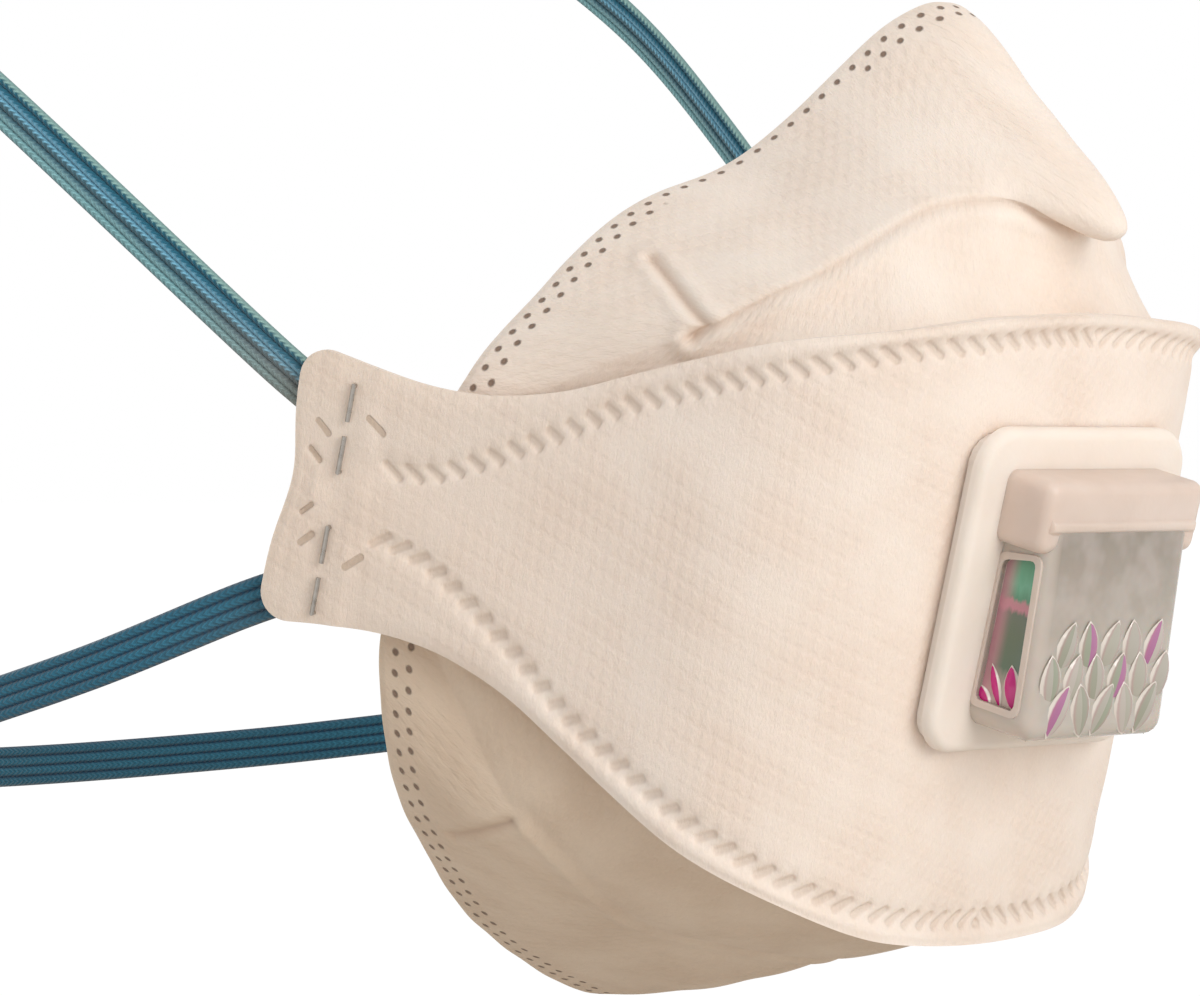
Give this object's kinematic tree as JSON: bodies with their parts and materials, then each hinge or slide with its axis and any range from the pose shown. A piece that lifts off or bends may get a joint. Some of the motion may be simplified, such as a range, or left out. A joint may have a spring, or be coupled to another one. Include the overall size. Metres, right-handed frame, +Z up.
{
  "type": "valved respirator mask",
  "caption": "Fold-flat filtering mask opened as worn: front, nose and chin panels of white cloth, an exhalation valve on the front and blue elastic head straps stapled to the side tabs.",
  "frame": {"origin": "midway between the two lines of staples, level with the middle of the side tabs, where the mask meets the wearer's cheeks", "axes": "+Z up as worn on an upright head, +Y back into the wearer's face, +X to the right of someone who faces the mask"},
  "size_m": [0.153, 0.2204, 0.1782],
  "materials": {
    "cloth": "matt layered nonwoven, finely embossed, warm white",
    "valve_white": "satin moulded plastic, milky white",
    "valve_clear": "clear moulded plastic, faceted front",
    "valve_film": "thin film with green and magenta interference colours",
    "staple_wire": "plain bright steel wire",
    "strap_pale": "braided elastic, pale teal blue",
    "strap_dark": "braided elastic, deep teal blue"
  },
  "bodies": {
    "root": {"centre_panel": "cloth", "nose_panel": "cloth", "chin_panel": "cloth", "valve_seat": "valve_white", "valve_flap": "valve_film", "valve_cover": "valve_clear", "staple_right_upper": "staple_wire", "staple_right_lower": "staple_wire", "staple_left_upper": "staple_wire", "staple_left_lower": "staple_wire", "upper_head_strap": "strap_pale", "lower_head_strap": "strap_dark"}
  },
  "joints": []
}
